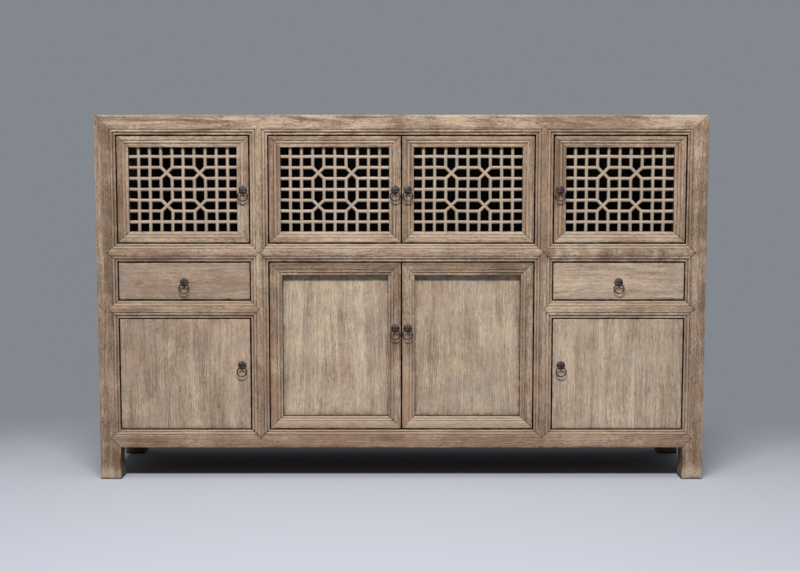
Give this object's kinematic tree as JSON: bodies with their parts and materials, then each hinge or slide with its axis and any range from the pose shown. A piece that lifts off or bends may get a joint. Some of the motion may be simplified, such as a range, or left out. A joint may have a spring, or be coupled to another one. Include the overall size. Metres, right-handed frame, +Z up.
{
  "type": "chinese book cabinet",
  "caption": "Low wide cabinet of reclaimed wood on square corner legs, with lattice doors above, drawers and plank doors at the sides, panelled doors in the middle, and iron ring pulls.",
  "frame": {"origin": "on the floor, under the middle of the whole cabinet with its ring pulls", "axes": "+X along the width to the viewer's right, +Y from the front to the back, +Z up; the front faces -Y"},
  "size_m": [1.8, 0.4198, 1.083],
  "materials": {
    "elm_frame": "matt",
    "elm_panels": "matt",
    "lacquered_boards": "matt",
    "drawer_wood": "matt",
    "iron": "satin"
  },
  "bodies": {
    "carcass": {"post_front_left": "elm_frame", "post_front_right": "elm_frame", "post_back_left": "elm_frame", "post_back_right": "elm_frame", "divider_front_left": "elm_frame", "divider_front_right": "elm_frame", "dividers_back": "elm_frame", "top_rail_front": "elm_frame", "top_rails_side": "elm_frame", "rails_back": "elm_frame", "middle_rails_front": "elm_frame", "drawer_rails_front": "elm_panels", "bottom_rail_front": "elm_frame", "side_rails": "elm_frame", "top_panel": "elm_panels", "side_panels": "elm_panels", "back_panels": "lacquered_boards", "partitions": "lacquered_boards", "shelf_boards": "lacquered_boards", "floor_boards": "lacquered_boards", "drawer_runners": "lacquered_boards", "door_stops": "lacquered_boards"},
    "lattice_door_side_left": {"lattice_door_side_left_frame": "elm_frame", "lattice_door_side_left_lattice": "elm_frame", "pull_lattice_door_side_left": "iron"},
    "lattice_door_middle_left": {"lattice_door_middle_left_frame": "elm_frame", "lattice_door_middle_left_lattice": "elm_frame", "pull_lattice_door_middle_left": "iron"},
    "panel_door_left": {"panel_door_left_frame": "elm_frame", "panel_door_left_panel": "elm_panels", "pull_panel_door_left": "iron"},
    "plank_door_left": {"plank_door_left": "elm_panels", "pull_plank_door_left": "iron"},
    "drawer_left": {"drawer_left_front": "elm_panels", "drawer_left_box": "drawer_wood", "pull_drawer_left": "iron"},
    "lattice_door_side_right": {"lattice_door_side_right_frame": "elm_frame", "lattice_door_side_right_lattice": "elm_frame", "pull_lattice_door_side_right": "iron"},
    "lattice_door_middle_right": {"lattice_door_middle_right_frame": "elm_frame", "lattice_door_middle_right_lattice": "elm_frame", "pull_lattice_door_middle_right": "iron"},
    "panel_door_right": {"panel_door_right_frame": "elm_frame", "panel_door_right_panel": "elm_panels", "pull_panel_door_right": "iron"},
    "plank_door_right": {"plank_door_right": "elm_panels", "pull_plank_door_right": "iron"},
    "drawer_right": {"drawer_right_front": "elm_panels", "drawer_right_box": "drawer_wood", "pull_drawer_right": "iron"},
    "ring_lattice_door_side_left": {"ring_lattice_door_side_left": "iron"},
    "ring_lattice_door_middle_left": {"ring_lattice_door_middle_left": "iron"},
    "ring_panel_door_left": {"ring_panel_door_left": "iron"},
    "ring_plank_door_left": {"ring_plank_door_left": "iron"},
    "ring_drawer_left": {"ring_drawer_left": "iron"},
    "ring_lattice_door_side_right": {"ring_lattice_door_side_right": "iron"},
    "ring_lattice_door_middle_right": {"ring_lattice_door_middle_right": "iron"},
    "ring_panel_door_right": {"ring_panel_door_right": "iron"},
    "ring_plank_door_right": {"ring_plank_door_right": "iron"},
    "ring_drawer_right": {"ring_drawer_right": "iron"}
  },
  "joints": [
    {"name": "lattice_door_side_left_hinge", "type": "hinge", "parent": "carcass", "child": "lattice_door_side_left", "pos_m": [-0.81499, -0.1871, 0.86525], "axis": [0, 0, -1], "range_deg": [0, 105]},
    {"name": "lattice_door_middle_left_hinge", "type": "hinge", "parent": "carcass", "child": "lattice_door_middle_left", "pos_m": [-0.36999, -0.1871, 0.86525], "axis": [0, 0, -1], "range_deg": [0, 105]},
    {"name": "panel_door_left_hinge", "type": "hinge", "parent": "carcass", "child": "panel_door_left", "pos_m": [-0.36999, -0.1871, 0.40175], "axis": [0, 0, -1], "range_deg": [0, 105]},
    {"name": "plank_door_left_hinge", "type": "hinge", "parent": "carcass", "child": "plank_door_left", "pos_m": [-0.81499, -0.1871, 0.31775], "axis": [0, 0, -1], "range_deg": [0, 105]},
    {"name": "drawer_left_slide", "type": "slide", "parent": "carcass", "child": "drawer_left", "axis": [0, -1, 0], "range_m": [0, 0.24]},
    {"name": "lattice_door_side_right_hinge", "type": "hinge", "parent": "carcass", "child": "lattice_door_side_right", "pos_m": [0.81499, -0.1871, 0.86525], "axis": [0, 0, 1], "range_deg": [0, 105]},
    {"name": "lattice_door_middle_right_hinge", "type": "hinge", "parent": "carcass", "child": "lattice_door_middle_right", "pos_m": [0.36999, -0.1871, 0.86525], "axis": [0, 0, 1], "range_deg": [0, 105]},
    {"name": "panel_door_right_hinge", "type": "hinge", "parent": "carcass", "child": "panel_door_right", "pos_m": [0.36999, -0.1871, 0.40175], "axis": [0, 0, 1], "range_deg": [0, 105]},
    {"name": "plank_door_right_hinge", "type": "hinge", "parent": "carcass", "child": "plank_door_right", "pos_m": [0.81499, -0.1871, 0.31775], "axis": [0, 0, 1], "range_deg": [0, 105]},
    {"name": "drawer_right_slide", "type": "slide", "parent": "carcass", "child": "drawer_right", "axis": [0, -1, 0], "range_m": [0, 0.24]},
    {"name": "ring_lattice_door_side_left_swing", "type": "hinge", "parent": "lattice_door_side_left", "child": "ring_lattice_door_side_left", "pos_m": [-0.4655, -0.2051, 0.8602], "axis": [-1, 0, 0], "range_deg": [-8, 165]},
    {"name": "ring_lattice_door_middle_left_swing", "type": "hinge", "parent": "lattice_door_middle_left", "child": "ring_lattice_door_middle_left", "pos_m": [-0.0185, -0.2051, 0.8602], "axis": [-1, 0, 0], "range_deg": [-8, 165]},
    {"name": "ring_panel_door_left_swing", "type": "hinge", "parent": "panel_door_left", "child": "ring_panel_door_left", "pos_m": [-0.0185, -0.2051, 0.4512], "axis": [-1, 0, 0], "range_deg": [-8, 165]},
    {"name": "ring_plank_door_left_swing", "type": "hinge", "parent": "plank_door_left", "child": "ring_plank_door_left", "pos_m": [-0.4735, -0.2051, 0.3402], "axis": [-1, 0, 0], "range_deg": [-8, 165]},
    {"name": "ring_drawer_left_swing", "type": "hinge", "parent": "drawer_left", "child": "ring_drawer_left", "pos_m": [-0.64175, -0.2051, 0.5882], "axis": [-1, 0, 0], "range_deg": [-8, 165]},
    {"name": "ring_lattice_door_side_right_swing", "type": "hinge", "parent": "lattice_door_side_right", "child": "ring_lattice_door_side_right", "pos_m": [0.4655, -0.2051, 0.8602], "axis": [-1, 0, 0], "range_deg": [-8, 165]},
    {"name": "ring_lattice_door_middle_right_swing", "type": "hinge", "parent": "lattice_door_middle_right", "child": "ring_lattice_door_middle_right", "pos_m": [0.0185, -0.2051, 0.8602], "axis": [-1, 0, 0], "range_deg": [-8, 165]},
    {"name": "ring_panel_door_right_swing", "type": "hinge", "parent": "panel_door_right", "child": "ring_panel_door_right", "pos_m": [0.0185, -0.2051, 0.4512], "axis": [-1, 0, 0], "range_deg": [-8, 165]},
    {"name": "ring_plank_door_right_swing", "type": "hinge", "parent": "plank_door_right", "child": "ring_plank_door_right", "pos_m": [0.4735, -0.2051, 0.3402], "axis": [-1, 0, 0], "range_deg": [-8, 165]},
    {"name": "ring_drawer_right_swing", "type": "hinge", "parent": "drawer_right", "child": "ring_drawer_right", "pos_m": [0.64175, -0.2051, 0.5882], "axis": [-1, 0, 0], "range_deg": [-8, 165]}
  ]
}
